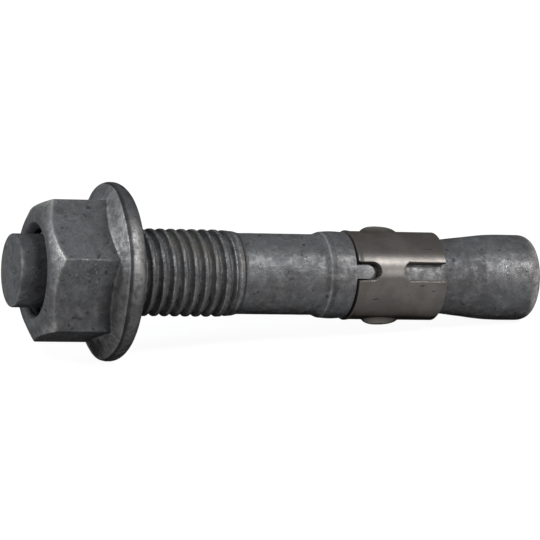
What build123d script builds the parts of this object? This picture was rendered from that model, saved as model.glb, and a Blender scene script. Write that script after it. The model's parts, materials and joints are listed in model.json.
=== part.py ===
from build123d import *
import math
import os

os.makedirs("parts", exist_ok=True)

# A 16 mm wedge anchor: a galvanised stud with an expansion cone, a flange nut forged in one
# piece, and an expansion clip wrapped round the stud's neck. All lengths are in millimetres.
#
# Each piece is drawn upright. Z runs along the stud from its dog point towards its cone, and
# +X is the side of the clip's notch and slot. The last section lays the anchor down.

# Stud, in the order in which its lengths follow each other from the dog point.
DOG_POINT_R = 6.6
DOG_POINT_LENGTH = 5.6
DOG_POINT_EDGE = 0.3
THREAD_R = 7.92            # over the crests
THREAD_PITCH = 2.0
THREAD_DEPTH = 1.05
CREST_WIDTH = 0.5
ROOT_WIDTH = 0.3
THREAD_LENGTH = 32.7       # full crests, with the lead-in chamfer
THREAD_PHASE = -126.0      # degrees, where the groove starts round the stud
RUN_OUT_R = 7.66           # over the last crest, which is only half raised
RUN_OUT_LENGTH = 3.2       # from the last full crest to the half raised one
RUN_OUT_FALL = 0.9         # from there down to the shank
RUN_OUT_TURNS = 2.0        # in which the groove climbs out
SHANK_R = 7.37
SHANK_LENGTH = 14.9
COLLAR_R = 8.0             # at the crown
COLLAR_CROWN = 0.16        # how far the crown stands above the collar's edges
COLLAR_LEAD_IN = 1.0
COLLAR_LENGTH = 5.9
COLLAR_END_EDGE = 0.3
CROWN_ROUND = 20.0
NECK_R = 6.35
NECK_LENGTH = 15.0
CONE_LENGTH = 13.4
CONE_R = 7.9
CONE_ROUND = 12.0          # blend from the cone into the cylindrical end
END_LENGTH = 8.4
END_ROUND = 2.3

# Nib that the dies leave at the collar, and that keeps the clip from turning.
NIB_WIDTH = 2.9            # at its foot
NIB_LENGTH = 3.4
NIB_R = 7.8                # height of its top above the stud's axis
NIB_DRAFT = 5.0            # degrees
NIB_SEAT = 0.4             # how deep its foot is set below the neck's surface

# Expansion clip.
CLIP_WALL = 1.43
CLIP_LENGTH = 17.15
CLIP_NECK_CLEARANCE = 0.3
CLIP_COLLAR_GAP = 0.25
CLIP_LIP = 0.13            # how far the edge beside the collar flares
CLIP_LIP_LENGTH = 1.2
CLIP_EDGE = 0.1
CLIP_LEAD_IN = 0.5         # inner chamfer of the edge that rides up the cone
NOTCH_SIDE_CLEARANCE = 0.3
NOTCH_DEPTH = 4.4
SLOT_WIDTH = 3.55
SLOT_LENGTH = 8.3
SLOT_CORNER = 1.0
SEAM_WIDTH = 1.6           # where the two ends of the wrapped strip meet
DOME_HEIGHT = 0.96         # above the clip's outer face
DOME_DEPTH = 0.5           # of the dome's own axis below that face
DOME_HALF_WIDTH = 1.9
DOME_STEEP_LENGTH = 3.0    # from the peak to the buried ends of the dome's two halves
DOME_GENTLE_LENGTH = 4.4
DOME_FROM_EDGE = 6.15      # from the clip's edge beside the collar to the dome's peak
DOME_WALL = 1.2            # at the peak, between the dome and the hollow pressed behind it
DOME_SIDE_WALL = 0.6

# Flange nut.
NUT_STANDOFF = 4.0         # how far the dog point stands out of the nut
NUT_HEIGHT = 16.5
NUT_TURN = -3.0            # degrees from the clip's slot line to the nearest hexagon corner
ACROSS_FLATS = 23.8
HEX_SIDES = 6
CORNER_ROUND = 0.4
NUT_TOP_R = 10.33          # of the flat top inside the chamfer
NUT_CHAMFER_ANGLE = 30.0
COUNTERSINK_R = 8.75
THREAD_RUNNING_CLEARANCE = 0.05
FLANGE_R = 16.15
RIM_HEIGHT = 3.3           # from the bearing face to the rim's front corner, before rounding
RIM_FRONT_ANGLE = 35.0
RIM_FRONT_ROUND = 1.5
RIM_BACK_ROUND = 2.2
FACET_ANGLE = 24.7         # degrees that each facet falls away from the nut's top
FACET_CROWN_R = 32.0
FACET_HEIGHT = 11.2        # from the nut's top to the middle of each facet's inner edge

# How the anchor lies.
SLOT_LINE_ROLL = 70.5      # degrees from straight up towards -Y
CUT_OVERRUN = 2.0          # how far a cutting tool passes a face

# Stations along the stud.
thread_end = DOG_POINT_LENGTH + THREAD_LENGTH
groove_start = DOG_POINT_LENGTH - THREAD_PITCH / 2
run_out_end = thread_end + RUN_OUT_LENGTH
shank_start = run_out_end + RUN_OUT_FALL
collar_start = shank_start + SHANK_LENGTH
collar_end = collar_start + COLLAR_LENGTH
neck_end = collar_end + NECK_LENGTH
cone_end = neck_end + CONE_LENGTH
stud_end = cone_end + END_LENGTH
clip_start = collar_end + CLIP_COLLAR_GAP
clip_end = clip_start + CLIP_LENGTH
nut_top = NUT_STANDOFF
bearing_face = nut_top + NUT_HEIGHT

# Radii that follow from a mating piece.
thread_root_r = THREAD_R - THREAD_DEPTH
nut_bore_r = THREAD_R + THREAD_RUNNING_CLEARANCE
clip_inner_r = NECK_R + CLIP_NECK_CLEARANCE
clip_outer_r = clip_inner_r + CLIP_WALL
notch_width = NIB_WIDTH + 2 * NOTCH_SIDE_CLEARANCE

CENTRED_PLAN = (Align.CENTER, Align.CENTER)


def turned(*corners):
    """Solid of revolution about Z. A corner is (radius, height) or (radius, height, rounding)."""
    outline = make_face(Polyline(*[(corner[0], 0, corner[1]) for corner in corners], close=True))
    for radius, height, rounding in [corner for corner in corners if len(corner) > 2]:
        vertex = outline.vertices().sort_by_distance((radius, 0, height))[0]
        outline = fillet(vertex, rounding)
    return revolve(outline, Axis.Z)


def stud_blank():
    """The headed and turned stud before its thread is rolled."""
    lead_in = THREAD_R - DOG_POINT_R
    collar_edge_r = COLLAR_R - COLLAR_CROWN
    crown_start = collar_start + COLLAR_LEAD_IN
    return turned(
        (0, 0),
        (DOG_POINT_R - DOG_POINT_EDGE, 0),
        (DOG_POINT_R, DOG_POINT_EDGE),
        (DOG_POINT_R, DOG_POINT_LENGTH),
        (THREAD_R, DOG_POINT_LENGTH + lead_in),
        (THREAD_R, thread_end),
        (RUN_OUT_R, run_out_end),
        (SHANK_R, shank_start),
        (SHANK_R, collar_start),
        (collar_edge_r, crown_start),
        (COLLAR_R, (crown_start + collar_end) / 2, CROWN_ROUND),
        (collar_edge_r, collar_end - COLLAR_END_EDGE),
        (collar_edge_r - COLLAR_END_EDGE, collar_end),
        (NECK_R, collar_end),
        (NECK_R, neck_end),
        (CONE_R, cone_end, CONE_ROUND),
        (CONE_R, stud_end, END_ROUND),
        (0, stud_end),
    )


def groove_along(helix):
    """Thread groove: a trapezoid, narrow at the root, carried along a helix of the root's radius."""
    flank_spread = (THREAD_PITCH - CREST_WIDTH - ROOT_WIDTH) / 2 / THREAD_DEPTH
    overrun = CREST_WIDTH / 2
    tool_depth = THREAD_DEPTH + overrun
    mouth = ROOT_WIDTH / 2 + flank_spread * tool_depth
    start = helix @ 0
    outward = Vector(start.X, start.Y, 0)
    section = Polygon(
        (0, -ROOT_WIDTH / 2),
        (tool_depth, -mouth),
        (tool_depth, mouth),
        (0, ROOT_WIDTH / 2),
        align=None,
    )
    section_plane = Plane(origin=start, x_dir=outward, z_dir=helix % 0)
    return sweep(section_plane * section, path=helix, is_frenet=True)


def groove_lengths(start, end, climb):
    """The groove between two stations, in equal lengths of a turn or less that meet end to end. Over
    the whole way its root climbs towards the crests."""
    count = math.ceil((end - start) / THREAD_PITCH)
    step = (end - start) / count
    cone_angle = math.degrees(math.atan(climb / (end - start)))
    lengths = []
    for k in range(count):
        helix = Helix(THREAD_PITCH, step, thread_root_r + k * climb / count, cone_angle=cone_angle)
        station = start + k * step
        turned_to = THREAD_PHASE + 360 * (station - groove_start) / THREAD_PITCH
        lengths.append(Pos(0, 0, station) * Rot(0, 0, turned_to) * groove_along(helix))
    return lengths


def thread_groove():
    """Full depth from the air over the dog point to the last full crest, and then climbing out."""
    climb_end = thread_end + RUN_OUT_TURNS * THREAD_PITCH
    full = groove_lengths(groove_start, thread_end, 0)
    return full + groove_lengths(thread_end, climb_end, THREAD_DEPTH)


def nib():
    """Drafted tab with a round end, from inside the collar out over the neck. Its foot is set into
    the neck."""
    round_r = NIB_WIDTH / 2
    tab_end = collar_end + NIB_LENGTH
    tab_start = collar_end - COLLAR_END_EDGE
    straight = tab_end - round_r - tab_start
    tab = Pos(0, tab_start + straight / 2) * Rectangle(NIB_WIDTH, straight)
    tab += Pos(0, tab_end - round_r) * Circle(round_r)
    foot = Plane(origin=(NECK_R - NIB_SEAT, 0, 0), x_dir=(0, 1, 0), z_dir=(1, 0, 0))
    post = extrude(foot * tab, NIB_R, taper=NIB_DRAFT)
    top = Cylinder(NIB_R, stud_end, align=(*CENTRED_PLAN, Align.MIN))
    return post & top


def stud():
    """The blank, with its groove cut one length after another from the run-out back, and its nib."""
    threaded = stud_blank()
    for length in reversed(thread_groove()):
        threaded -= length
    return threaded + nib()


def clip_tube():
    """The rolled strip as a tube, with its flared edge, its broken outer edges and its lead-in."""
    lip_r = clip_outer_r + CLIP_LIP
    return turned(
        (clip_inner_r, clip_start),
        (lip_r - CLIP_EDGE, clip_start),
        (lip_r, clip_start + CLIP_EDGE),
        (clip_outer_r, clip_start + CLIP_LIP_LENGTH),
        (clip_outer_r, clip_end - CLIP_EDGE),
        (clip_outer_r - CLIP_EDGE, clip_end),
        (clip_inner_r + CLIP_LEAD_IN, clip_end),
        (clip_inner_r, clip_end - CLIP_LEAD_IN),
    )


def teardrop(inset):
    """Two half ellipsoids about Z that meet at the dome's peak: the steep one towards the
    collar, the gentle one towards the cone. The inset narrows and shortens them."""
    height = DOME_HEIGHT + DOME_DEPTH
    half_width = DOME_HALF_WIDTH - inset
    drop = Part()
    for length, side in ((DOME_STEEP_LENGTH, Align.MAX), (DOME_GENTLE_LENGTH, Align.MIN)):
        ellipsoid = scale(Sphere(1), by=(height, half_width, length - inset))
        drop += ellipsoid & Box(2 * height, 2 * half_width, length, align=(*CENTRED_PLAN, side))
    return drop


def on_both_sides(shape, sunk=0):
    """A dome's shape at its two places, a quarter turn either way from the slot line."""
    out = clip_outer_r - DOME_DEPTH - sunk
    peak = clip_start + DOME_FROM_EDGE
    placed = Pos(out, 0, peak) * shape
    return Rot(0, 0, 90) * placed + Rot(0, 0, -90) * placed


def cut_through_front(outline):
    """Tool through the clip's wall on its +X side. The outline is drawn in (across, along)."""
    facing = Plane(origin=(0, 0, 0), x_dir=(0, 1, 0), z_dir=(1, 0, 0))
    return extrude(facing * outline, clip_outer_r + CUT_OVERRUN)


def notch():
    """U-shaped, open beside the collar, round the nib."""
    round_r = notch_width / 2
    open_end = clip_start - CUT_OVERRUN
    centre = clip_start + NOTCH_DEPTH - round_r
    straight = centre - open_end
    outline = Pos(0, open_end + straight / 2) * Rectangle(notch_width, straight)
    outline += Pos(0, centre) * Circle(round_r)
    return cut_through_front(outline)


def slot():
    """Open at the cone's side, with two cut corners at its closed end."""
    closed_end = clip_end - SLOT_LENGTH
    open_end = clip_end + CUT_OVERRUN
    half = SLOT_WIDTH / 2
    outline = Polygon(
        (-half, closed_end + SLOT_CORNER),
        (-half + SLOT_CORNER, closed_end),
        (half - SLOT_CORNER, closed_end),
        (half, closed_end + SLOT_CORNER),
        (half, open_end),
        (-half, open_end),
        align=None,
    )
    return cut_through_front(outline)


def seam():
    """The gap between the strip's two ends, opposite the slot."""
    reach = clip_outer_r + CUT_OVERRUN
    length = CLIP_LENGTH + 2 * CUT_OVERRUN
    gap = Box(reach, SEAM_WIDTH, length, align=(Align.MAX, Align.CENTER, Align.MIN))
    return Pos(0, 0, clip_start - CUT_OVERRUN) * gap


def expansion_clip():
    bore = Pos(0, 0, clip_start) * Cylinder(
        clip_inner_r, CLIP_LENGTH, align=(*CENTRED_PLAN, Align.MIN)
    )
    raised = clip_tube() + (on_both_sides(teardrop(0)) - bore)
    pressed = raised - on_both_sides(teardrop(DOME_SIDE_WALL), DOME_WALL)
    return pressed - notch() - slot() - seam()


def hexagon():
    """The nut's hexagon, with its top chamfered by a cone."""
    corner_r = ACROSS_FLATS / 2 / math.cos(math.pi / HEX_SIDES)
    height = NUT_HEIGHT - RIM_HEIGHT / 2
    plan = RegularPolygon(ACROSS_FLATS / 2, HEX_SIDES, major_radius=False)
    plan = fillet(plan.vertices(), CORNER_ROUND)
    prism = Pos(0, 0, nut_top) * extrude(plan, height)
    drop = (corner_r - NUT_TOP_R) * math.tan(math.radians(NUT_CHAMFER_ANGLE))
    chamfer = turned(
        (0, nut_top),
        (NUT_TOP_R, nut_top),
        (corner_r, nut_top + drop),
        (corner_r, nut_top + height),
        (0, nut_top + height),
    )
    return prism & chamfer


def facet_limit(angle):
    """Large cylinder whose side is one crowned facet: the flange lies inside it."""
    fall = math.radians(FACET_ANGLE)
    inner_edge = Vector(ACROSS_FLATS / 2, 0, nut_top + FACET_HEIGHT)
    into_flange = Vector(-math.sin(fall), 0, math.cos(fall))
    down_facet = Vector(math.cos(fall), 0, math.sin(fall))
    centre = inner_edge + into_flange * FACET_CROWN_R
    along = Plane(origin=centre, x_dir=(0, 1, 0), z_dir=down_facet)
    return Rot(0, 0, angle) * along * Cylinder(FACET_CROWN_R, 2 * FACET_CROWN_R)


def flange():
    """The round flange, cut at the front into one facet below each flat of the hexagon."""
    rim_front = bearing_face - RIM_HEIGHT
    core_r = ACROSS_FLATS / 2
    rise = (FLANGE_R - core_r) * math.tan(math.radians(RIM_FRONT_ANGLE))
    body = turned(
        (0, rim_front - rise),
        (core_r, rim_front - rise),
        (FLANGE_R, rim_front, RIM_FRONT_ROUND),
        (FLANGE_R, bearing_face, RIM_BACK_ROUND),
        (0, bearing_face),
    )
    step = 360 / HEX_SIDES
    for side in range(HEX_SIDES):
        body &= facet_limit(step * (side + 0.5))
    return body


def nut_bore():
    """Bore that clears the stud's crests, countersunk at both ends."""
    sink = COUNTERSINK_R - nut_bore_r
    return turned(
        (0, nut_top - CUT_OVERRUN),
        (COUNTERSINK_R, nut_top - CUT_OVERRUN),
        (COUNTERSINK_R, nut_top),
        (nut_bore_r, nut_top + sink),
        (nut_bore_r, bearing_face - sink),
        (COUNTERSINK_R, bearing_face),
        (COUNTERSINK_R, bearing_face + CUT_OVERRUN),
        (0, bearing_face + CUT_OVERRUN),
    )


def flange_nut():
    return Rot(0, 0, NUT_TURN) * (hexagon() + flange() - nut_bore())


def lying():
    """Place of the upright anchor once it lies on its flange's rim and its cone's end.

    Both touch the floor on a rounding. The tilt is the angle at which the two roundings
    reach equally low.
    """
    rim_centre_r = FLANGE_R - RIM_BACK_ROUND
    rim_station = bearing_face - RIM_BACK_ROUND
    end_centre_r = CONE_R - END_ROUND
    end_station = stud_end - END_ROUND
    run = end_station - rim_station
    fall = rim_centre_r - end_centre_r
    tilt = math.atan2(fall, run) + math.asin((RIM_BACK_ROUND - END_ROUND) / math.hypot(run, fall))
    height = rim_station * math.sin(tilt) + rim_centre_r * math.cos(tilt) + RIM_BACK_ROUND
    upward = Vector(math.sin(tilt), 0, math.cos(tilt))
    towards_cone = Vector(math.cos(tilt), 0, -math.sin(tilt))
    rest = Plane(origin=(0, 0, height), x_dir=upward, z_dir=towards_cone)
    return rest.location * Rot(0, 0, SLOT_LINE_ROLL)


def centred(pieces):
    """The pieces moved along X, so that the middle of their length is at the origin."""
    box = Compound(children=[piece.solid() for piece in pieces.values()]).bounding_box()
    shift = Pos(-(box.min.X + box.max.X) / 2, 0, 0)
    return {name: shift * piece for name, piece in pieces.items()}


rest = lying()
pieces = {
    "stud": rest * stud(),
    "flange_nut": rest * flange_nut(),
    "expansion_clip": rest * expansion_clip(),
}
for name, piece in centred(pieces).items():
    export_step(piece, f"parts/{name}.step")
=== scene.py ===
import json
import math

import bpy
import numpy as np
from mathutils import Matrix, Vector

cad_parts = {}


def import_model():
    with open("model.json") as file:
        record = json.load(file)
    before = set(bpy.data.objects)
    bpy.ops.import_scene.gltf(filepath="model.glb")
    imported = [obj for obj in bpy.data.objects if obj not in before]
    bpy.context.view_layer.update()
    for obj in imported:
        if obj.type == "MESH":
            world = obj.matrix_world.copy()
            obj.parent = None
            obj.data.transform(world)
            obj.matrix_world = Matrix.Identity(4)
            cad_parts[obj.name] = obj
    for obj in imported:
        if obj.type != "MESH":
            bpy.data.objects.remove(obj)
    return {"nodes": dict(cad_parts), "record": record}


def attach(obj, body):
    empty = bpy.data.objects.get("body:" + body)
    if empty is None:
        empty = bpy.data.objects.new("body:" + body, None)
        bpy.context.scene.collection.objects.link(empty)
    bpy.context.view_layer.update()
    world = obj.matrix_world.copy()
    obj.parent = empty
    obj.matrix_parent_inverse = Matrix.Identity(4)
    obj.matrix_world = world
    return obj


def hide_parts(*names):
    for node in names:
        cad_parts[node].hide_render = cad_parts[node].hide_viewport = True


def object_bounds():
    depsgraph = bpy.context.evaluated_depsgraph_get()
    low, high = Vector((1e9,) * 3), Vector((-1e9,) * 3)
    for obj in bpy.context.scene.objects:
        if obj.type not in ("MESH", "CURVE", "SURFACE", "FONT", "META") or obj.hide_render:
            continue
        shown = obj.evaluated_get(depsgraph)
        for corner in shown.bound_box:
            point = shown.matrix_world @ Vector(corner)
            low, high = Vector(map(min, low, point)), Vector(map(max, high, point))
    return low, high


# A galvanised wedge anchor: stud, flange nut and expansion clip. Shapes are worked out upright in
# millimetres, with z along the stud from its dog point and x on the side of the clip's slot, and
# are then laid along the frame's own axis in metres.

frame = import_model()
cad_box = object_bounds()

# ---------------------------------------------------------------- driving values, millimetres

DOG_POINT_R, DOG_POINT_LENGTH, DOG_POINT_EDGE = 6.6, 5.6, 0.38
THREAD_R, THREAD_PITCH, THREAD_DEPTH = 7.92, 2.0, 1.05
THREAD_ROOT_ROUND, THREAD_CREST_ROUND = 0.16, 0.18
FLANK_SLOPE = 1.75             # rise of a flank for each millimetre along the stud
THREAD_START_TURN = 0.35       # share of a turn by which the groove is turned on
THREAD_END, CLIMB_LENGTH = 38.3, 4.0
RUN_OUT_R, RUN_OUT_END, SHANK_START = 7.66, 41.5, 42.4
SHANK_R, SHANK_END = 7.37, 57.3
COLLAR_R, COLLAR_CROWN, COLLAR_LEAD_IN, COLLAR_END, COLLAR_EDGE = 8.0, 0.16, 1.0, 63.2, 0.3
COLLAR_UNDERCUT = 0.03         # how far the collar's back leans in towards the neck
CROWN_START = SHANK_END + COLLAR_LEAD_IN
NECK_R, NECK_END = 6.35, 78.2
CONE_R, CONE_END = 7.9, 91.6
STUD_END, END_ROUND = 100.0, 2.6

NIB_HALF_WIDTH, NIB_LENGTH, NIB_R, NIB_DRAFT = 1.35, 3.4, 7.8, 0.2
NIB_END = COLLAR_END + NIB_LENGTH
NIB_EDGE, NIB_SINK, NIB_ASIDE = 0.12, 0.3, 0.15    # its rounding, its foot's depth, its offset

CLIP_INNER_R, CLIP_OUTER_R, CLIP_START, CLIP_END = 6.65, 8.08, 63.45, 80.6
CLIP_LIP, CLIP_LIP_LENGTH, CLIP_LEAD_IN, CLIP_EDGE = 0.13, 1.2, 0.5, 0.08
NOTCH_HALF, NOTCH_DEPTH = 1.75, 4.4
SLOT_HALF, SLOT_LENGTH, SLOT_CORNER = 1.775, 8.3, 1.0
SLOT_CORNER_GROWTH = 0.41      # of the cut corner, per millimetre by which the slot is widened
SEAM_HALF = 0.8
DOME_SEAT_R, DOME_RISE, DOME_PEAK, DOME_HALF_WIDTH = 7.58, 1.46, 69.6, 1.9
DOME_STEEP, DOME_GENTLE, DOME_WALL, DOME_SIDE_WALL = 2.95, 4.4, 1.2, 0.6
DOME_POWER, DOME_FOOT_ROUND = 2.4, 0.1     # with power 2 its outline would be an ellipse
DOME_FROM, DOME_TO = math.radians(72), math.radians(108)   # round the axis from the slot's middle
DOME_REACH, DOME_HALF_TURN = 5.0, 0.31     # a patch round each dome, for its wear

NUT_TOP, BEARING_FACE, NUT_TURN = 4.0, 20.5, -3.0
APOTHEM, HEX_ROUND = 11.9, 0.4
NUT_TOP_R, CHAMFER_SLOPE, COUNTERSINK_R = 10.33, math.tan(math.radians(30)), 8.75
NUT_MINOR_R, NUT_CLEARANCE, NUT_CREST_ROUND = 6.95, 0.05, 0.08
FLANGE_R, RIM_FRONT, RIM_FRONT_ANGLE = 16.15, 17.2, math.radians(35)
RIM_FRONT_ROUND, RIM_BACK_ROUND = 1.5, 2.2
FACET_FALL, FACET_CROWN_R, FACET_INNER = math.radians(24.7), 32.0, 15.2
FACET_EDGE_LEAST, FACET_EDGE_MOST = 13.6, FLANGE_R - 0.02   # radii that hold its outer edge
RIDGE_RISE, RIDGE_WIDTH = 0.03, 0.16   # of the fine ridge between two facets

CENTRE_R = 0.05                # of the small ring that an end's last triangles close
STUD_LUMPS, RIM_LUMPS = 0.03, 0.06     # unevenness of the zinc on the stud and on the flange's rim
RIM_SINK = 0.6                 # share of the rim's unevenness by which it lies further in

SLOT_LINE_ROLL = math.radians(70.5)    # from straight up towards the near side

# Rows of the clip's mesh beside the notch, between the two cuts and beside the slot, its columns
# from the cuts to a dome, over the dome, from there to the seam, and across the bridge between the
# cuts, and the layers that round an edge
NOTCH_ROWS, BRIDGE_ROWS, SLOT_ROWS = 14, 41, 36
CUT_COLUMNS, DOME_COLUMNS, SEAM_COLUMNS, BRIDGE_COLUMNS = 24, 36, 28, 24
EDGE_LAYERS = 5

# ---------------------------------------------------------------- the anchor's place in the frame

mounts = {mount["name"]: mount for mount in frame["record"]["mounts"]}
ALONG = np.array(mounts["expansion_end"]["axis"])
ALONG = ALONG / np.linalg.norm(ALONG)
on_axis = np.array(mounts["expansion_end"]["pos_m"])
stud_points = np.array([vertex.co for vertex in frame["nodes"]["stud"].data.vertices])
TIP = on_axis + ((stud_points - on_axis) @ ALONG).min() * ALONG
NEAR = np.array([0.0, -1.0, 0.0])
UPWARD = np.cross(NEAR, ALONG)
SLOT_SIDE = math.cos(SLOT_LINE_ROLL) * UPWARD + math.sin(SLOT_LINE_ROLL) * NEAR
AXES = np.array([SLOT_SIDE, np.cross(ALONG, SLOT_SIDE), ALONG]) / 1000
LEAN = math.atan2(-ALONG[2], ALONG[0])


def laid(angle, radius, station):
    """Points in the frame: the cylinder coordinates as x = r cos a, y = r sin a, z = station,
    times the anchor's three directions, from its tip."""
    upright = np.stack([radius * np.cos(angle), radius * np.sin(angle), station + 0 * angle], -1)
    return upright @ AXES + TIP


# ---------------------------------------------------------------- shapes as functions


def ramp(x, low, high):
    """0 below low and 1 above high, and between them the smooth S of 3t^2 - 2t^3."""
    t = np.clip((x - low) / (high - low), 0, 1)
    return t * t * (3 - 2 * t)


def soft_least(a, b, blend):
    """The smaller of a and b. Where they differ by less than blend, h = 1/2 + (b - a)/2 blend
    mixes them, less blend times h(1 - h), which rounds the corner where they cross."""
    h = np.clip(0.5 + 0.5 * (b - a) / blend, 0, 1)
    return b + (a - b) * h - blend * h * (1 - h)


def soft_most(a, b, blend):
    """The larger of a and b, with the same rounding."""
    return -soft_least(-a, -b, blend)


def peak(x, middle, width):
    """A bell of height 1: e to the power of minus the square of (x - middle) / width."""
    return np.exp(-(((x - middle) / width) ** 2))


def swell(x, low, full, fading, gone):
    """0 below low, 1 from full to fading and 0 above gone, with smooth slopes."""
    return ramp(x, low, full) * (1 - ramp(x, fading, gone))


def facing(angle, middle, low, high):
    """How far a point lies towards one side of the anchor: the cosine of its angle from middle, in
    degrees, as it rises from low to high."""
    return ramp(np.cos(angle - math.radians(middle)), low, high)


def weighed(*pairs):
    """Masks times their strengths, added up and held between 0 and 1."""
    return np.clip(sum(strength * mask for strength, mask in pairs), 0, 1)


def ripple(seed, *scaled):
    """Gentle unevenness between -1 and 1: the mean of nine sines whose directions and phases are
    drawn with a fixed seed, over coordinates already divided by the wavelength."""
    draw = np.random.default_rng(seed)
    total = 0
    for _ in range(9):
        direction = draw.normal(size=len(scaled))
        phase = draw.uniform(0, 2 * math.pi)
        total = total + np.sin(sum(d * c for d, c in zip(direction, scaled)) * 2 * math.pi + phase)
    return total / 9


def bent(corners, softness, counts):
    """Section through corners that may differ round the piece, as an array of rows by columns by
    (radius, station). Each corner is a parabola: it leaves the run before it and joins the run
    after it at its softness. counts gives the rows on each straight run and on each parabola."""
    corners = np.asarray(corners, float)
    runs = np.diff(corners, axis=0)
    units = runs / np.linalg.norm(runs, axis=-1, keepdims=True)
    rows = []
    start = corners[0]
    for k, (straight, curve) in enumerate(counts):
        last = k == len(counts) - 1
        soft = 0 if last else softness[k]
        leave = corners[k + 1] - soft * units[k]
        t = np.linspace(0, 1, straight, endpoint=False)[:, None, None]
        rows.append(start + t * (leave - start))
        if last:
            rows.append(leave[None])
            break
        start = corners[k + 1] + soft * units[k + 1]
        t = np.linspace(0, 1, curve, endpoint=False)[:, None, None]
        rows.append((1 - t) ** 2 * leave + 2 * t * (1 - t) * corners[k + 1] + t * t * start)
    return np.concatenate(rows)


def turned_section(stops, counts):
    """A section that is the same all round, through stops of (radius, station, softness)."""
    corners = [[(radius, station)] for radius, station, _ in stops]
    return bent(corners, [softness for *_, softness in stops[1:-1]], counts)


def around(stops):
    """Angles round the axis in degrees: equal steps between stops, given as (angle, steps on)."""
    parts = [
        np.linspace(a, b, steps, endpoint=False)
        for (a, steps), (b, _) in zip(stops, stops[1:])
    ]
    return np.radians(np.concatenate(parts))


def groove(angle, station):
    """Radius of a right-hand helical groove of full depth, and the station of its middle at each
    point. Across the groove the radius is the root plus the flank's slope times a hyperbola, the
    root of u squared plus w squared, less w, where u is the distance from the middle."""
    turn = angle / (2 * math.pi) + THREAD_START_TURN
    first = DOG_POINT_LENGTH - THREAD_PITCH / 2 + THREAD_PITCH * turn
    u = (station - first + THREAD_PITCH / 2) % THREAD_PITCH - THREAD_PITCH / 2
    across = np.sqrt(u * u + THREAD_ROOT_ROUND**2) - THREAD_ROOT_ROUND
    return THREAD_R - THREAD_DEPTH + FLANK_SLOPE * across, station - u


# ---------------------------------------------------------------- meshes


def grid_faces(rows, columns, close_rows=False, close_columns=True):
    """Quads of a grid of points, each from a point to the next column, the next row and back,
    which face outwards where the columns run anticlockwise about the rows' direction."""
    i = np.arange(rows if close_rows else rows - 1)[:, None]
    j = np.arange(columns if close_columns else columns - 1)[None]
    here, there = i * columns, (i + 1) % rows * columns
    beside = (j + 1) % columns
    return np.stack([here + j, here + beside, there + beside, there + j], -1).reshape(-1, 4)


def end_caps(rows, columns):
    """Triangles from a grid's first and last rows to two more points, which follow the grid's."""
    ring = np.arange(columns)
    after = (ring + 1) % columns
    last = (rows - 1) * columns
    centre = ring * 0 + rows * columns
    return np.concatenate([
        np.stack([centre, after, ring, ring], -1),
        np.stack([centre + 1, last + ring, last + after, last + after], -1),
    ])


def border_of(faces, points):
    """The edges that only one of the faces has, as pairs of point numbers below points."""
    sides = np.concatenate([faces[:, [a, (a + 1) % 4]] for a in range(4)])
    key = np.sort(sides, 1) @ np.array([points, 1])
    _, first, count = np.unique(key, return_index=True, return_counts=True)
    return sides[first[count == 1]]


def made(name, points, faces, attributes, material, body, node, crisp=40):
    """A mesh piece from arrays: quads, or triangles where the fourth number repeats the third,
    with edges above the crisp angle kept sharp."""
    used, index = np.unique(faces, return_inverse=True)
    faces = index.reshape(faces.shape)
    three = faces[:, 2] == faces[:, 3]
    loops = [faces[~three].ravel(), faces[three][:, :3].ravel()]
    sizes = np.concatenate([np.full((~three).sum(), 4), np.full(three.sum(), 3)])
    mesh = bpy.data.meshes.new(name)
    mesh.vertices.add(len(used))
    mesh.vertices.foreach_set("co", points.reshape(-1, 3)[used].astype(np.float32).ravel())
    mesh.loops.add(int(sizes.sum()))
    mesh.loops.foreach_set("vertex_index", np.concatenate(loops).astype(np.int32))
    mesh.polygons.add(len(sizes))
    mesh.polygons.foreach_set("loop_start", (np.cumsum(sizes) - sizes).astype(np.int32))
    for key, values in attributes.items():
        layer = mesh.attributes.new(key, "FLOAT", "POINT")
        layer.data.foreach_set("value", values.reshape(-1)[used].astype(np.float32))
    mesh.update(calc_edges=True)
    mesh.validate()
    mesh.polygons.foreach_set("use_smooth", np.ones(len(mesh.polygons), bool))
    mesh.set_sharp_from_angle(angle=math.radians(crisp))
    mesh.materials.append(material)
    piece = bpy.data.objects.new(name, mesh)
    bpy.context.scene.collection.objects.link(piece)
    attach(piece, body)
    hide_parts(node)
    return piece


# ---------------------------------------------------------------- finishes


def add(tree, kind, inputs=(), **settings):
    """A shader node with its settings, and with each named or numbered input set or linked."""
    node = tree.nodes.new("ShaderNode" + kind)
    for key, value in settings.items():
        setattr(node, key, value)
    for key, value in dict(inputs).items():
        if isinstance(value, bpy.types.NodeSocket):
            tree.links.new(value, node.inputs[key])
        else:
            node.inputs[key].default_value = value
    return node


def noise(tree, where, size, detail=3.0, rough=0.5, stretch=None):
    """Noise with features of the given size in millimetres, if need be drawn out along and across
    the anchor, whose own direction is the pattern's first axis."""
    if stretch is not None:
        where = add(
            tree, "Mapping", {"Vector": where, "Rotation": (0, LEAN, 0), "Scale": stretch},
            vector_type="TEXTURE",
        ).outputs[0]
    return add(
        tree, "TexNoise",
        {"Vector": where, "Scale": 1000 / size, "Detail": detail, "Roughness": rough},
    ).outputs["Fac"]


def between(tree, value, low, high, to_low=0.0, to_high=1.0):
    """The value's part between low and high, moved smoothly to to_low and to_high."""
    return add(
        tree, "MapRange",
        {"Value": value, "From Min": low, "From Max": high, "To Min": to_low, "To Max": to_high},
        interpolation_type="SMOOTHSTEP",
    ).outputs["Result"]


def sum_of(tree, a, b, operation="ADD"):
    return add(tree, "Math", {0: a, 1: b}, operation=operation).outputs[0]


def times(tree, a, b):
    return sum_of(tree, a, b, "MULTIPLY")


def blend_of(tree, share, a, b):
    """Colour a, turned to b by share."""
    return add(tree, "Mix", {0: share, 6: a, 7: b}, data_type="RGBA").outputs[2]


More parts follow.
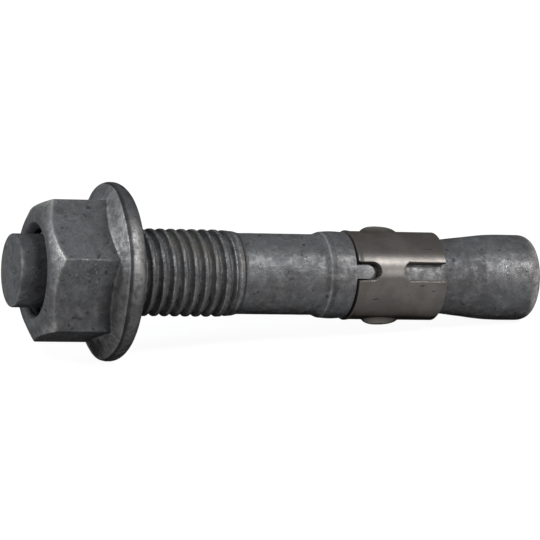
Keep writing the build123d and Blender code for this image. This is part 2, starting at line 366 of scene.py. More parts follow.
def layer_of(tree, name):
    """One of the mesh's own masks: wear with painted highlight, darker tone with painted shade, or
    the thread.
    """
    return add(tree, "Attribute", attribute_name=name).outputs["Fac"]


def new_material(name):
    material = bpy.data.materials.new(name)
    material.use_nodes = True
    tree = material.node_tree
    return material, tree, add(tree, "TexCoord").outputs["Object"]


def finish_metal(tree, colour, rough, metallic, strength, distance, height):
    """Links a metal's colour, roughness and bump. Its metallic share alone makes it reflect."""
    shader = tree.nodes["Principled BSDF"]
    bump = add(tree, "Bump", {"Strength": strength, "Distance": distance, "Height": height})
    tree.links.new(colour, shader.inputs["Base Color"])
    tree.links.new(bump.outputs[0], shader.inputs["Normal"])
    tree.links.new(rough, shader.inputs["Roughness"])
    shader.inputs["Metallic"].default_value = metallic
    shader.inputs["Specular IOR Level"].default_value = 0.0
    shader.inputs["Specular Tint"].default_value = (0.03, 0.03, 0.03, 1)


ZINC = {
    "dull": (0.094, 0.093, 0.095, 1),
    "bluish": (0.119, 0.122, 0.129, 1),
    "pale": (0.160, 0.162, 0.166, 1),
    "pitted": (0.050, 0.050, 0.054, 1),
    "dark": (0.050, 0.050, 0.056, 1),
    "flux spot": (0.026, 0.026, 0.036, 1),
    "fleck": (0.36, 0.355, 0.345, 1),
    # pale zinc for wear, also used for painted highlights
    "rubbed_and_highlight": (0.42, 0.41, 0.40, 1),
    "tan": (0.150, 0.132, 0.112, 1),
    "streak": (0.060, 0.060, 0.062, 1),
    # near black for darker tones and for painted shade
    "dark_and_shade": (0.016, 0.016, 0.018, 1),
}

STRIP = {
    "cool": (0.100, 0.093, 0.088, 1),
    "warm": (0.132, 0.123, 0.116, 1),
    "stain": (0.098, 0.084, 0.072, 1),
    "grain": (0.085, 0.075, 0.068, 1),
    # dark for scuffs, also used for painted shade
    "scuff_and_shade": (0.030, 0.026, 0.023, 1),
    "cut edge": (0.50, 0.47, 0.44, 1),
}


def galvanised():
    """Dull zinc: slate grey with soft bluish clouds and a fine dark grain, dark patches and a few
    flux spots. Edges are rubbed bright and the same pale colour also paints highlights, small
    flecks catch the light, the thread is a little tan and streaked by rolling, and a near black
    gives darker tones and painted shade in hollows."""
    material, tree, where = new_material("galvanised_zinc")
    clouds = noise(tree, where, 9.0, 4.0, 0.6)
    mottle = noise(tree, where, 1.6, 5.0, 0.65)
    grain = noise(tree, where, 0.42, 3.0, 0.65)
    patches = noise(tree, where, 3.0, 4.0, 0.6)
    spots = noise(tree, where, 1.3, 1.5, 0.45)
    sparkle = noise(tree, where, 0.5, 2.0, 0.5)
    rolled = noise(tree, where, 0.26, 2.0, 0.5, stretch=(1, 14, 14))
    wear_and_highlight, shade_and_dark_tone, thread = (layer_of(tree, name) for name in ("wear_and_highlight", "shade_and_dark_tone", "thread"))

    flecks = between(tree, sparkle, 0.60, 0.68)
    flecks = times(tree, flecks, between(tree, clouds, 0.42, 0.60))
    beads = times(tree, thread, between(tree, grain, 0.42, 0.58, 0.75, -0.35))
    rub_and_highlight = times(tree, wear_and_highlight, between(tree, mottle, 0.34, 0.60, 0.25, 1.0))
    rub_and_highlight = times(tree, rub_and_highlight, sum_of(tree, 1.0, beads, "SUBTRACT"))
    colour = ZINC["dull"]
    for share, coat in (
        (between(tree, clouds, 0.34, 0.66), "bluish"),
        (between(tree, mottle, 0.40, 0.75), "pale"),
        (between(tree, grain, 0.30, 0.50, 0.45, 0.0), "pitted"),
        (between(tree, patches, 0.33, 0.45, 0.42, 0.0), "dark"),
        (between(tree, spots, 0.27, 0.33, 0.6, 0.0), "flux spot"),
        (times(tree, flecks, 0.3), "fleck"),
        # pale rubbed colour: wear on edges, and painted highlights
        (rub_and_highlight, "rubbed_and_highlight"),
        (times(tree, thread, between(tree, clouds, 0.50, 0.62, 0.0, 0.4)), "tan"),
        (times(tree, thread, between(tree, rolled, 0.42, 0.66, 0.0, 0.30)), "streak"),
        # near black: darker tones, and painted shade in hollows and under the clip
        (shade_and_dark_tone, "dark_and_shade"),
    ):
        colour = blend_of(tree, share, colour, ZINC[coat])

    lumps = sum_of(tree, mottle, times(tree, grain, 0.35))
    lumps = sum_of(tree, lumps, times(tree, thread, times(tree, rolled, 0.4)))
    rough = between(tree, mottle, 0.35, 0.68, 0.46, 0.33)
    for mask, change in ((flecks, -0.22), (shade_and_dark_tone, 0.8), (wear_and_highlight, -0.12)):
        rough = sum_of(tree, rough, times(tree, mask, change))
    finish_metal(tree, colour, rough, 0.32, 0.8, 0.0002, lumps)
    return material


def stainless():
    """Rolled stainless strip: dark warm grey and satin, with faint clouds, brownish stains, a few
    dark scuffs along the anchor, and brighter cut edges. The scuffs' dark colour also paints shade
    on the strip's inner side and at the foot of each dome."""
    material, tree, where = new_material("rolled_stainless")
    clouds = noise(tree, where, 6.0, 3.0, 0.55)
    fine = noise(tree, where, 0.6, 4.0, 0.6)
    stains = noise(tree, where, 7.5, 1.0, 0.4)
    scratches = noise(tree, where, 1.1, 3.0, 0.6, stretch=(4, 1, 1))
    scuffs = between(tree, scratches, 0.27, 0.31, 0.7, 0.0)
    wear_and_highlight, shade_and_dark_tone = (layer_of(tree, name) for name in ("wear_and_highlight", "shade_and_dark_tone"))
    colour = STRIP["cool"]
    for share, coat in (
        (between(tree, clouds, 0.35, 0.65), "warm"),
        (between(tree, stains, 0.50, 0.54, 0.0, 0.35), "stain"),
        (between(tree, fine, 0.58, 0.74, 0.0, 0.8), "grain"),
        (scuffs, "scuff_and_shade"),
        (times(tree, wear_and_highlight, between(tree, fine, 0.30, 0.60, 0.3, 1.0)), "cut edge"),
        # the same dark colour as painted shade, inside the strip and at the foot of each dome
        (shade_and_dark_tone, "scuff_and_shade"),
    ):
        colour = blend_of(tree, share, colour, STRIP[coat])
    rough = between(tree, clouds, 0.3, 0.7, 0.33, 0.28)
    rough = sum_of(tree, rough, times(tree, scuffs, 0.3))
    finish_metal(tree, colour, rough, 0.46, 0.3, 0.00006, fine)
    return material


# ---------------------------------------------------------------- stud


def stud_blank():
    """Radius and station of the stud's turned section, without its thread and nib, from the middle
    of the dog point's face to the middle of the far end."""
    lead_in_end = DOG_POINT_LENGTH + THREAD_R - DOG_POINT_R
    shank_cut = SHANK_END - 1.2
    edge_r = COLLAR_R - COLLAR_CROWN
    crown = (CROWN_START + COLLAR_END) / 2
    neck_plain = NIB_END + 0.6
    section = np.concatenate([
        turned_section([
            (CENTRE_R, 0, 0), (DOG_POINT_R, 0, DOG_POINT_EDGE),
            (DOG_POINT_R, DOG_POINT_LENGTH, 0.15), (THREAD_R, lead_in_end, 0.2),
            (THREAD_R, THREAD_END, 0.8), (RUN_OUT_R, RUN_OUT_END, 0.3),
            (SHANK_R, SHANK_START, 0.4), (SHANK_R, shank_cut, 0),
        ], [(16, 8), (24, 4), (9, 4), (270, 14), (28, 8), (6, 8), (30, 0)]),
        turned_section([
            (SHANK_R, shank_cut, 0), (SHANK_R, SHANK_END, 0.55), (edge_r, CROWN_START, 0.35),
            (COLLAR_R, crown, 1.2), (edge_r, COLLAR_END, COLLAR_EDGE),
            (NECK_R, COLLAR_END - COLLAR_UNDERCUT, 0.3), (NECK_R, neck_plain, 0.1),
            (NECK_R, NECK_END, 0),
        ], [(3, 8), (3, 6), (6, 14), (6, 10), (4, 6), (30, 2), (20, 0)])[1:],
        turned_section([
            (NECK_R, NECK_END, 0), (CONE_R, CONE_END, 2.6), (CONE_R, STUD_END, END_ROUND),
            (CENTRE_R, STUD_END, 0),
        ], [(24, 18), (10, 22), (14, 0)])[1:],
    ])
    return section[..., 0], section[..., 1]


def stud_wear(angle, station, blank, radius, middle, on_thread, near_nib):
    """The stud's masks: where it is rubbed bright or has a painted highlight, where it is darker
    or in painted shade, and how far a point belongs to the thread."""
    # The lower side, where the painted highlight on the lips and the darkening of the dog point's
    # side are weaker, and the slot side, which gets painted highlights
    low_side = facing(angle, 85, 0.5, 0.95)
    slot_side = facing(angle, -6.9, 0.84, 1.0)

    # Dog point: the edge of its face, a painted highlight on that edge's upper front stretch, and
    # its side
    rim = peak(blank, DOG_POINT_R - 0.1, 0.3) * peak(station, 0, 0.5)
    edge_highlight = rim * facing(angle, -12, 0.86, 0.99)
    side = ramp(blank, DOG_POINT_R - 0.5, DOG_POINT_R - 0.1) * (station < DOG_POINT_LENGTH)

    # Thread: the lip of each crest for a painted highlight, the flank just before it for painted
    # shade, and the groove, lightened as painted light against its own shade
    u = station - middle
    lip = on_thread * peak(u, 0.76, 0.07) * ramp(radius, THREAD_R - 0.5, THREAD_R - 0.2)
    near_flank = on_thread * swell(u, 0.3, 0.5, 0.6, 0.72)
    groove_lightened = on_thread * swell(u, -0.75, -0.5, 0.15, 0.4)

    # Run-out, shank and collar, from one end to the other
    before_step = peak(station, RUN_OUT_END - 1.1, 0.3)
    step = peak(station, RUN_OUT_END - 0.5, 0.14)
    foot = peak(station, SHANK_START - 0.65, 0.2)
    on_shank = (station > SHANK_START) & (station < SHANK_END)
    ridge = peak(station, CROWN_START, 0.15)
    behind_ridge = peak(station, CROWN_START + 0.75, 0.3)
    on_collar = (station > CROWN_START + 0.6) & (station < COLLAR_END)
    nib = ramp(radius, NIB_R - 0.5, NIB_R - 0.1) * near_nib

    # Neck under the clip, in painted shade, and in its slot, cone, and the far end's rim
    under_clip = ramp(station, COLLAR_END - 0.1, COLLAR_END + 0.1) * (station < CLIP_START + 0.6)
    under_clip = under_clip * (1 - ramp(radius, NECK_R + 0.05, NECK_R + 0.65))
    slot_closed = CLIP_END - SLOT_LENGTH
    in_slot = swell(station, slot_closed + 0.4, slot_closed + 1.2, CLIP_END - 0.6, CLIP_END + 0.2)
    in_slot = in_slot * (1 - ramp(np.abs(NIB_R * np.sin(angle)), SLOT_HALF - 0.1, SLOT_HALF + 0.3))
    on_cone = swell(station, CLIP_END - 1, CLIP_END + 2, CONE_END - 2, CONE_END + 1)
    far_rim = peak(station, STUD_END - 1.0, 0.7)

    # Painted highlight: the thread's lips, weaker on the lower side, the dog point's edge on its
    # upper front, the lightened groove, and the slot side of the shank, collar and far end. The
    # other masks are wear, and a lighter neck where the slot leaves it open.
    wear_and_highlight = weighed(
        (0.16, rim), (0.6, edge_highlight), (1 - 0.7 * low_side, lip), (0.16, groove_lightened), (0.3, step),
        (0.04 * slot_side, on_shank), (0.45, ridge), (0.16 * slot_side, on_collar), (0.2, nib),
        (0.3, in_slot), (0.16 * slot_side, station > CONE_END - 3), (0.85, far_rim),
    )
    # Painted shade: the dog point's side beside the nut, which is also darker in tone and
    # lightened on its lower side as painted light, the flank before each crest, and the neck under
    # the clip. The rest darkens rings at the run-out's step and behind the collar's ridge, and the
    # cone a little.
    shade_and_dark_tone = weighed(
        (0.48 - 0.38 * low_side, side), (0.25 * (1 - low_side), near_flank), (0.35, before_step),
        (0.6, foot), (0.3, behind_ridge), (0.5, under_clip), (0.07, on_cone),
    )
    thread = on_thread * ramp(radius, 6.0, 6.4) + 0 * angle
    return {"wear_and_highlight": wear_and_highlight, "shade_and_dark_tone": shade_and_dark_tone, "thread": thread}


def stud(material):
    """The stud as one skin over (angle, row), closed by a point in the middle of each end. Over
    the thread the radius is the soft least of the blank and the groove, whose root climbs out over
    the last turn, and beside the collar it is the soft most of the blank and the nib's plateau."""
    angle = around([(-180, 54), (-15, 43), (15, 54), (180, 0)])
    blank, station = stud_blank()
    cut, middle = groove(angle, station)
    climb = THREAD_DEPTH * np.maximum(middle - THREAD_END, 0) / CLIMB_LENGTH
    threaded = soft_least(blank, cut + climb, THREAD_CREST_ROUND)
    on_thread = (station > DOG_POINT_LENGTH) & (station < SHANK_START)
    radius = np.where(on_thread, threaded, blank)
    across = NIB_R * np.sin(angle) - NIB_ASIDE
    beyond = np.maximum(station - NIB_END + NIB_HALF_WIDTH, 0)
    outside = np.hypot(across, beyond) - NIB_HALF_WIDTH
    plateau = NIB_R - (NIB_R - NECK_R + NIB_SINK) * ramp(outside, -NIB_EDGE, NIB_DRAFT)
    near_nib = (station > COLLAR_END - COLLAR_EDGE) & (station < NIB_END + 0.5)
    near_nib = near_nib & (np.abs(angle) < 0.3)
    radius = np.where(near_nib, soft_most(radius, plateau, NIB_EDGE), radius)
    lumpy = (station > SHANK_START) & (station < STUD_END - 0.2)
    lumps = ripple(3, np.cos(angle) * 1.6, np.sin(angle) * 1.6, station / 6)
    radius = radius + np.where(lumpy, STUD_LUMPS * lumps, 0)
    points = laid(angle + 0 * station, radius, station)
    centres = laid(np.zeros(2), np.zeros(2), np.array([0.0, STUD_END]))
    at_centres = [0.1, 0.0]
    masks = stud_wear(angle, station, blank, radius, middle, on_thread, near_nib)
    masks = {key: np.append(mask.reshape(-1), at_centres) for key, mask in masks.items()}
    return made(
        "stud_skin", np.concatenate([points.reshape(-1, 3), centres]),
        np.concatenate([grid_faces(*radius.shape), end_caps(*radius.shape)]),
        masks, material, "stud", "stud",
    )


# ---------------------------------------------------------------- flange nut


def off_corner(angle):
    """Angle between a direction and that of the hexagon's nearest corner."""
    return np.abs((angle + math.pi / 6) % (math.pi / 3) - math.pi / 6)


def hex_radius(angle):
    """Radius of the rounded hexagon. From the nearest corner's direction by an angle d, it is the
    apothem over cos(30 deg - d), and near the corner c cos d + sqrt(r^2 - c^2 sin^2 d), the
    rounding's circle of radius r about its middle at c."""
    d = off_corner(angle)
    middle = (APOTHEM - HEX_ROUND) / math.cos(math.pi / 6)
    inside = np.maximum(HEX_ROUND**2 - (middle * np.sin(d)) ** 2, 0)
    on_round = middle * np.sin(d) < HEX_ROUND / 2
    flat = APOTHEM / np.cos(math.pi / 6 - d)
    return np.where(on_round, middle * np.cos(d) + np.sqrt(inside), flat)


def facet_station(angle, radius):
    """Station of the flange's facet below a flat. With x out along the flat's middle and y across,
    it is the inner edge's station plus (h + (x - apothem) sin f) / cos f, where f is the fall and
    h the crown of a large circle, R - sqrt(R^2 - y^2)."""
    from_middle = (angle % (math.pi / 3)) - math.pi / 6
    x, y = radius * np.cos(from_middle), radius * np.sin(from_middle)
    crown = FACET_CROWN_R - np.sqrt(FACET_CROWN_R**2 - y * y)
    return FACET_INNER + (crown + (x - APOTHEM) * math.sin(FACET_FALL)) / math.cos(FACET_FALL)


def rim_station(radius):
    """Station of the turned flange's front: the cone, and near the rim the rounding's circle."""
    middle_r = FLANGE_R - RIM_FRONT_ROUND
    reach = RIM_FRONT_ROUND * math.tan((math.pi / 2 - RIM_FRONT_ANGLE) / 2)
    cone = RIM_FRONT - (FLANGE_R - radius) * math.tan(RIM_FRONT_ANGLE)
    inside = np.maximum(RIM_FRONT_ROUND**2 - (radius - middle_r) ** 2, 0)
    circle = RIM_FRONT + reach - np.sqrt(inside)
    return np.where(radius > FLANGE_R - reach * math.cos(RIM_FRONT_ANGLE), circle, cone)


def facet_edge(angle):
    """Radius where the facet meets the turned front, by halving an interval that holds it."""
    low, high = np.full(angle.shape, FACET_EDGE_LEAST), np.full(angle.shape, FACET_EDGE_MOST)
    for _ in range(30):
        half = (low + high) / 2
        above = facet_station(angle, half) > rim_station(half)
        low, high = np.where(above, half, low), np.where(above, high, half)
    return low


def nut_section(angle, side):
    """Radius and station of the nut's closed section, whose hexagon has the given radius at each
    angle. It runs from the countersink over the top, the chamfer, the hexagon's side, the facet
    and the rim to the bearing face, and back up the bore. With it come the rows at which the
    flats, the facets, the rim and the bore start."""
    one = np.ones_like(angle)
    crossing = facet_edge(angle)
    chamfer_end = NUT_TOP + np.maximum(side - NUT_TOP_R, 0) * CHAMFER_SLOPE
    inner = facet_station(angle, side)

    def ring(radius, station):
        return np.stack([radius * one, station * one], -1)

    turn = np.linspace(0, math.pi / 2, 26)[1:, None]
    rim_r = crossing + (FLANGE_R - crossing) * np.sin(turn)
    over_rim = np.stack([rim_r, rim_station(rim_r)], -1)
    turn = np.linspace(0, math.pi / 2, 16)[:, None]
    back = np.stack([
        (FLANGE_R - RIM_BACK_ROUND) * one + RIM_BACK_ROUND * np.cos(turn),
        (BEARING_FACE - RIM_BACK_ROUND) * one + RIM_BACK_ROUND * np.sin(turn),
    ], -1)
    counts = [(5, 6), (8, 6), (44, 4), (14, 0)]
    outer = bent(
        [ring(COUNTERSINK_R, NUT_TOP), ring(NUT_TOP_R, NUT_TOP), ring(side, chamfer_end),
         ring(side, inner), ring(crossing, rim_station(crossing))],
        [0.55, 0.3, 0.18], counts,
    )
    sink = COUNTERSINK_R - NUT_MINOR_R
    bore = bent(
        [ring(COUNTERSINK_R, BEARING_FACE), ring(NUT_MINOR_R, BEARING_FACE - sink),
         ring(NUT_MINOR_R, NUT_TOP + sink), ring(COUNTERSINK_R, NUT_TOP)],
        [0.1, 0.1],
        [(16, 2), (120, 2), (16, 0)],
    )
    bearing = bent([back[-1], ring(COUNTERSINK_R, BEARING_FACE)], [], [(12, 0)])
    section = np.concatenate([outer, over_rim[:-1], back, bearing[1:], bore[1:-1]])
    _, first_flat, first_facet, _ = np.cumsum(np.sum(counts, 1))
    first_bore = len(section) - len(bore) + 2
    starts = first_flat, first_facet, len(outer), first_bore
    return section[..., 0], section[..., 1], starts


def nut_wear(turned, from_corner, side, radius, ridge, starts):
    """The nut's masks: where it is rubbed bright or has a painted highlight, where it is darker or
    in painted shade, and where it is threaded.
    """
    row = np.arange(len(radius))[:, None]
    first_flat, first_facet, first_rim, first_bore = starts
    in_bore = row >= first_bore

    # Rubbed bright: the chamfer, edges and ridges. Painted highlight: the facets, but for the one
    # facing up and back, and the rim on its upper front side, none on its top.
    chamfer = peak(row, first_flat - 6, 4.5)
    chamfer_tip = peak(row, first_flat - 4, 3.5) * peak(from_corner * side, 0, 1.7)
    corner = peak(from_corner * side, 0, 0.3) * (row > first_flat - 7) * (row < first_facet - 4)
    facet_start = peak(row, first_facet + 0.5, 1.3)
    facet = swell(row, first_facet - 2, first_facet + 1, first_rim - 2, first_rim + 1)
    # painted highlight on the facets, left off the one that faces up and back as painted shade
    facet = facet * (1 - facing(turned, -96, 0.75, 0.95))
    facet_end = peak(row, first_rim - 1, 1.2) * (1 - 0.5 * ridge)
    # the side that faces up: no wear there, and the rim's top is darker
    upper_side = facing(turned, -68, 0.55, 0.95)
    on_rim = swell(row, first_rim + 12, first_rim + 20, first_rim + 26, first_rim + 38)
    # painted highlight on the rim's upper front side, none on its top
    on_rim = on_rim * (0.1 + 0.9 * facing(turned, -16, 0.7, 1.0)) * (1 - upper_side)
    wear_and_highlight = ~in_bore * weighed(
        (0.32, chamfer), (0.45, chamfer_tip), (0.05, corner), (0.34, facet_start), (0.24, facet),
        (0.3, ridge), (0.15, facet_end), (0.72, on_rim),
    )

    # Darker: the flats, a band before the rim and the rim's top. Painted shade: the valleys before
    # the facets, deep in the bore, and the nut's lower front side.
    flat = swell(row, first_flat - 3, first_flat + 2, first_facet - 4, first_facet - 1)
    valley = peak(row, first_facet - 3, 9.0) * (row <= first_facet - 3)
    before_rim = swell(row, first_rim - 1, first_rim + 2, first_rim + 9, first_rim + 22)
    rim_top = upper_side * (row >= first_rim) * (row < first_rim + 38)
    # painted shade on the nut's lower front side
    low_side = facing(turned, 38, 0.45, 1.0) * ~in_bore
    deep = in_bore * (1 - ramp(radius, THREAD_R, THREAD_R + 0.9))
    shade_and_dark_tone = weighed(
        (0.08, flat), (0.32, valley), (0.36, before_rim), (0.45, rim_top), (0.75, deep),
        (0.12 + 0.08 * (row > first_facet - 4) + 0.04 * (row >= first_rim), low_side),
    )
    return {"wear_and_highlight": wear_and_highlight, "shade_and_dark_tone": shade_and_dark_tone, "thread": in_bore + 0 * radius}


def flange_nut(material):
    """The nut as a closed ring of sections over (angle, row). In the bore the radius is the soft
    most of the plain bore and the thread that fits the stud's groove."""
    sector = [(-30, 3), (-29.15, 3), (-27.5, 2), (-24, 3), (-15, 10), (15, 3), (24, 2), (27.5, 3),
              (29.15, 3), (30, 0)]
    stops = [(middle + a, steps) for middle in range(30, 390, 60) for a, steps in sector[:-1]]
    angle = around(stops + [(360, 0)])
    side = hex_radius(angle)
    radius, station, starts = nut_section(angle, side)
    _, first_facet, first_rim, first_bore = starts
    row = np.arange(len(station))[:, None]
    turned = angle + math.radians(NUT_TURN)
    cut, _ = groove(turned, station)
    thread = np.minimum(cut, THREAD_R) + NUT_CLEARANCE
    in_bore = row >= first_bore
    radius = np.where(in_bore, soft_most(radius, thread, NUT_CREST_ROUND), radius)
    from_corner = off_corner(angle)
    ridge = peak(from_corner * radius, 0, RIDGE_WIDTH) * (row >= first_facet) * (row <= first_rim)
    station = station - RIDGE_RISE * ridge
    lumps = ripple(5, 4.4 * np.cos(turned), 4.4 * np.sin(turned), station / 4)
    on_edge = ramp(radius, FLANGE_R - 1.55, FLANGE_R - 0.35)
    radius = radius - RIM_LUMPS * on_edge * (RIM_SINK + lumps)
    points = laid(turned + 0 * station, radius, station)
    return made(
        "flange_nut_forging", points, grid_faces(*radius.shape, close_rows=True),
        nut_wear(turned, from_corner, side, radius, ridge, starts),
        material, "nut", "flange_nut", 35,
    )


# ---------------------------------------------------------------- expansion clip


def dome(angle, station, seat_r, rise, inset):
    """Radius of the two teardrop domes, or 0 beside them. Across the strip a dome is an ellipse
    about its seat. Its half axes, the rise and the half width, are scaled by q, the root of
    1 - (distance along / length)^p. A ray from the axis at an angle d from the dome's middle
    meets it where R^2 A - 2 R B + C = 0, with A = cos^2 d / rise^2 + sin^2 d / width^2,
    B = seat cos d / rise^2 and C = seat^2 / rise^2 - q^2."""
    d = np.abs(angle) - math.pi / 2
    along = station - DOME_PEAK
    length = np.where(along < 0, DOME_STEEP, DOME_GENTLE) - inset
    q2 = 1 - np.abs(along / length) ** DOME_POWER
    width = DOME_HALF_WIDTH - inset
    a = (np.cos(d) / rise) ** 2 + (np.sin(d) / width) ** 2
    b = seat_r * np.cos(d) / rise**2
    inside = b * b - a * ((seat_r / rise) ** 2 - q2)
    met = (inside > 0) & (q2 > 0)
    return np.where(met, (b + np.sqrt(np.maximum(inside, 0))) / a, 0)


def clip_bridge(share, notch_mid, notch_r, slot_closed, slot_half, corner):
    """Angle and station of the points between the two cuts, from the notch's half circle at share
    0 to the slot's closed end, with its cut corners, at share 1."""
    arc = np.linspace(-1, 1, BRIDGE_COLUMNS + 1)[None, 1:-1] * math.pi / 2
    flat_end = slot_half - corner
    past_flat = np.maximum(np.abs(slot_half * np.sin(arc)) - flat_end, 0)
    low = notch_mid + notch_r * np.cos(arc)
    high = slot_closed + past_flat * corner / (slot_half - flat_end)
    across = np.sin(arc) * (notch_r + (slot_half - notch_r) * share)
    return np.arcsin(across / CLIP_OUTER_R), low + (high - low) * share


def clip_sheet(inset, radius_of):
    """One layer of the wrapped strip, with every border drawn back by inset: angle and station of
    its rows by columns of points, and the number of columns beside the cuts and between them.
    Columns run from seam to seam, and those beside the cuts follow the half width of the notch and
    the slot."""
    notch_r = NOTCH_HALF + inset
    slot_half = SLOT_HALF + inset
    notch_mid = CLIP_START + NOTCH_DEPTH - NOTCH_HALF
    slot_closed = CLIP_END - SLOT_LENGTH - inset
    corner = SLOT_CORNER + SLOT_CORNER_GROWTH * inset
    low, high = CLIP_START + inset, CLIP_END - inset
    bridge_end = slot_closed + corner
    edge_station = np.concatenate([
        low + (notch_mid - low) * np.linspace(0, 1, NOTCH_ROWS + 1)[:-1],
        notch_mid + (bridge_end - notch_mid) * np.linspace(0, 1, BRIDGE_ROWS),
        bridge_end + (high - bridge_end) * np.linspace(0, 1, SLOT_ROWS + 1)[1:],
    ])
    share = ramp(edge_station, notch_mid, bridge_end)
    edge_y = notch_r + (slot_half - notch_r) * share
    cut_angle = np.arcsin(edge_y / CLIP_OUTER_R)[:, None]
    seam_angle = math.pi - np.arcsin((SEAM_HALF + inset) / radius_of(edge_station, 0.0))[:, None]
    to_dome = np.linspace(0, 1, CUT_COLUMNS + 1)[None, :-1]
    over_dome = np.linspace(0, 1, DOME_COLUMNS + 1)[None, :-1]
    to_seam = np.linspace(0, 1, SEAM_COLUMNS + 1)[None]
    right = np.concatenate([
        cut_angle + (DOME_FROM - cut_angle) * to_dome,
        DOME_FROM + (DOME_TO - DOME_FROM) * over_dome + 0 * cut_angle,
        DOME_TO + (seam_angle - DOME_TO) * to_seam,
    ], 1)
    side, middle = right.shape[1], BRIDGE_COLUMNS - 1
    middle_angle = np.zeros((len(edge_station), middle))
    middle_station = np.repeat(edge_station[:, None], middle, 1)
    bridge = slice(NOTCH_ROWS, NOTCH_ROWS + BRIDGE_ROWS)
    share = (edge_station[bridge, None] - notch_mid) / (bridge_end - notch_mid)
    middle_angle[bridge], middle_station[bridge] = clip_bridge(
        share, notch_mid, notch_r, slot_closed, slot_half, corner)
    angle = np.concatenate([-right[:, ::-1], middle_angle, right], 1)
    side_station = np.repeat(edge_station[:, None], side, 1)
    station = np.concatenate([side_station, middle_station, side_station], 1)
    return angle, station, side, middle


def clip_wear(angles, radii, stations):
    """The clip's masks over its stack of layers: bright cut edges and tops of the domes, and
    painted shade inside the strip and at the foot of each dome."""
    front, cut_edge = slice(0, EDGE_LAYERS), slice(1, EDGE_LAYERS + 1)
    wear_and_highlight, shade_and_dark_tone = np.zeros_like(radii), np.zeros_like(radii)
    wear_and_highlight[cut_edge] = 0.45 * ramp(stations[cut_edge], CLIP_START + 0.1, CLIP_START + 0.7)
    # painted shade on the inner layers of the wall
    shade_and_dark_tone[EDGE_LAYERS + 1:] = 0.2
    proud = radii[front] - CLIP_OUTER_R
    on_dome = np.abs(stations[front] - DOME_PEAK) < DOME_REACH
    on_dome = on_dome & (np.abs(np.abs(angles[front]) - math.pi / 2) < DOME_HALF_TURN)
    wear_and_highlight[front] = np.maximum(wear_and_highlight[front], 0.3 * ramp(proud, 0.45, 0.8) * on_dome)
    # painted shade at the foot of each dome
    shade_and_dark_tone[front] = 0.6 * peak(proud, 0.12, 0.1) * on_dome
    return {"wear_and_highlight": wear_and_highlight, "shade_and_dark_tone": shade_and_dark_tone}


def expansion_clip(material):
    """The strip's wall as a stack of layers from its outer face to its inner face. The two faces
    are whole sheets, and the layers between give only their borders: each is drawn back by
    e (1 - sin a) and sunk by e (1 - cos a), so that the cut edges are rounded quarter circles of
    radius e."""

    def outer(station, sunk):
        flare = CLIP_LIP * ramp(-station, -CLIP_START - CLIP_LIP_LENGTH, -CLIP_START)
        return CLIP_OUTER_R + flare - sunk

    def inner(station, sunk):
        return CLIP_INNER_R + np.maximum(CLIP_LEAD_IN - (CLIP_END - station), 0) + sunk

    turn = np.linspace(0, math.pi / 2, EDGE_LAYERS)
    layers = [(outer, CLIP_EDGE * (1 - math.sin(a)), CLIP_EDGE * (1 - math.cos(a))) for a in turn]
    layers += [(inner, inset, sunk) for _, inset, sunk in layers[::-1]]
    skins = []
    for wall, inset, sunk in layers:
        angle, station, side, middle = clip_sheet(inset, wall)
        radius = wall(station, sunk)
        if wall is outer:
            raised = dome(angle, station, DOME_SEAT_R - sunk, DOME_RISE, 0)
        else:
            raised = dome(angle, station, DOME_SEAT_R - DOME_WALL, DOME_RISE, DOME_SIDE_WALL)
        radius = soft_most(radius, raised, DOME_FOOT_ROUND)
        skins.append((angle, radius, station))
    rows, columns = skins[0][0].shape
    faces = grid_faces(rows, columns, close_columns=False)
    cell = np.arange(len(faces))
    i, j = cell // (columns - 1), cell % (columns - 1)
    in_panel = (j < side - 1) | (j >= side + middle)
    in_bridge = (i >= NOTCH_ROWS) & (i < NOTCH_ROWS + BRIDGE_ROWS - 1)
    faces = faces[in_panel | in_bridge]
    size = rows * columns
    border = border_of(faces, size)
    strips = [
        np.stack([border[:, 1] + k * size, border[:, 0] + k * size,
                  border[:, 0] + (k + 1) * size, border[:, 1] + (k + 1) * size], -1)
        for k in range(len(layers) - 1)
    ]
    inside = faces[:, ::-1] + (len(layers) - 1) * size
    points = np.stack([laid(*skin) for skin in skins])
    masks = clip_wear(*(np.stack(part) for part in zip(*skins)))
    return made(
        "expansion_clip_strip", points, np.concatenate([faces, *strips, inside]),
        masks, material, "clip", "expansion_clip", 30,
    )


zinc = galvanised()
strip = stainless()
stud(zinc)
flange_nut(zinc)
expansion_clip(strip)

# ---------------------------------------------------------------- floor, light and camera

CAMERA_AZIMUTH, CAMERA_ELEVATION = math.radians(-19.48), math.radians(15.05)
CAMERA_LENS = 293.46
CAMERA_DEPTH, AIM_RIGHT, AIM_UP = 783.2, 46.05, 0.05     # from the tip, millimetres
FLOOR_HALF, FLOOR_GREY, FLOOR_GLOW = 3.0, 0.12, 0.94
ROOM_LIGHT = 0.055

# Name, azimuth and elevation in degrees, distance, width and height in metres, watts and colour
LAMPS = [
    ("band_box", 34, 43, 1.2, 0.42, 0.24, 10.0, (1, 1, 1)),
    ("front_box", 31, 18, 1.2, 0.45, 0.28, 3.2, (1, 1, 1)),
    ("rim_box", -42, 38, 1.2, 0.26, 0.18, 3.8, (1, 1, 1)),
    ("left_box", -103, 21, 0.9, 0.26, 0.26, 6.0, (0.97, 0.99, 1.0)),
    ("top_box", -93, 76, 1.0, 0.4, 0.4, 0.8, (0.70, 0.90, 1.0)),
]


def bearing(azimuth, elevation):
    """Direction from the anchor at an azimuth, from the near side towards the right, and at an
    elevation above the floor."""
    level = math.cos(elevation)
    return np.array([math.sin(azimuth) * level, -math.cos(azimuth) * level, math.sin(elevation)])


def pointed(thing, place, target):
    """Puts a camera or lamp at place, looking at target."""
    look = Vector(target) - Vector(place)
    turn = look.to_track_quat("-Z", "Y").to_matrix().to_4x4()
    thing.matrix_world = Matrix.Translation(Vector(place)) @ turn


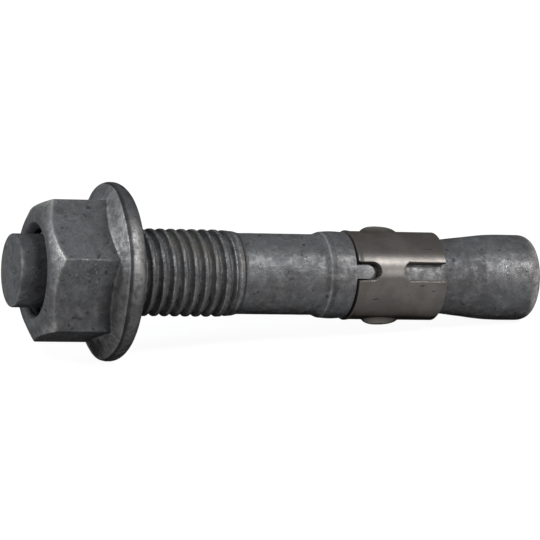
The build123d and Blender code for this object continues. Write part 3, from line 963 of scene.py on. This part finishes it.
def camera():
    data = bpy.data.cameras.new("camera")
    data.lens, data.sensor_width = CAMERA_LENS, 36.0
    data.clip_start, data.clip_end = 0.05, 20.0
    eye = bpy.data.objects.new("camera", data)
    bpy.context.scene.collection.objects.link(eye)
    back = bearing(CAMERA_AZIMUTH, CAMERA_ELEVATION)
    right = np.cross(np.array([0.0, 0.0, 1.0]), back)
    right = right / np.linalg.norm(right)
    aim = TIP + (AIM_RIGHT * right + AIM_UP * np.cross(back, right)) / 1000
    pointed(eye, aim + back * CAMERA_DEPTH / 1000, aim)
    bpy.context.scene.camera = eye


def lamp(name, azimuth, elevation, distance, width, height, power, colour):
    """A soft box that looks at the middle of the anchor from that bearing."""
    data = bpy.data.lights.new(name, "AREA")
    data.shape, data.size, data.size_y = "RECTANGLE", width, height
    data.energy, data.color = power, colour
    light = bpy.data.objects.new(name, data)
    bpy.context.scene.collection.objects.link(light)
    middle = (cad_box[0] + cad_box[1]) / 2
    back = Vector(bearing(math.radians(azimuth), math.radians(elevation)))
    pointed(light, middle + back * distance, middle)


def seen_directly(tree):
    """1 for rays from the camera, from glossy surfaces or through glass, and otherwise 0."""
    path = add(tree, "LightPath")
    either = sum_of(tree, path.outputs["Is Camera Ray"], path.outputs["Is Glossy Ray"], "MAXIMUM")
    return sum_of(tree, either, path.outputs["Is Transmission Ray"], "MAXIMUM")


def floor():
    """A pale sheet under the anchor. It glows a little where it is seen directly, so that it is
    white there and still holds the anchor's shadow."""
    material = bpy.data.materials.new("pale_floor")
    material.use_nodes = True
    tree = material.node_tree
    tree.nodes.clear()
    matt = add(tree, "BsdfDiffuse", {"Color": (FLOOR_GREY, FLOOR_GREY, FLOOR_GREY, 1)})
    glow = add(tree, "Emission", {"Color": (1, 1, 1, 1), "Strength": FLOOR_GLOW})
    both = add(tree, "AddShader", {0: matt.outputs[0], 1: glow.outputs[0]})
    shown = add(
        tree, "MixShader", {0: seen_directly(tree), 1: matt.outputs[0], 2: both.outputs[0]},
    )
    add(tree, "OutputMaterial", {"Surface": shown.outputs[0]})
    corners = [
        (x * FLOOR_HALF, y * FLOOR_HALF, 0) for x, y in ((-1, -1), (1, -1), (1, 1), (-1, 1))
    ]
    mesh = bpy.data.meshes.new("floor")
    mesh.from_pydata(corners, [], [(0, 1, 2, 3)])
    mesh.materials.append(material)
    sheet = bpy.data.objects.new("floor", mesh)
    bpy.context.scene.collection.objects.link(sheet)


def world():
    room = bpy.data.worlds.new("studio")
    room.use_nodes = True
    background = room.node_tree.nodes["Background"]
    background.inputs["Color"].default_value = (1, 1, 1, 1)
    background.inputs["Strength"].default_value = ROOM_LIGHT
    bpy.context.scene.world = room


camera()
floor()
world()
for values in LAMPS:
    lamp(*values)

bpy.context.scene.view_settings.view_transform = "Standard"
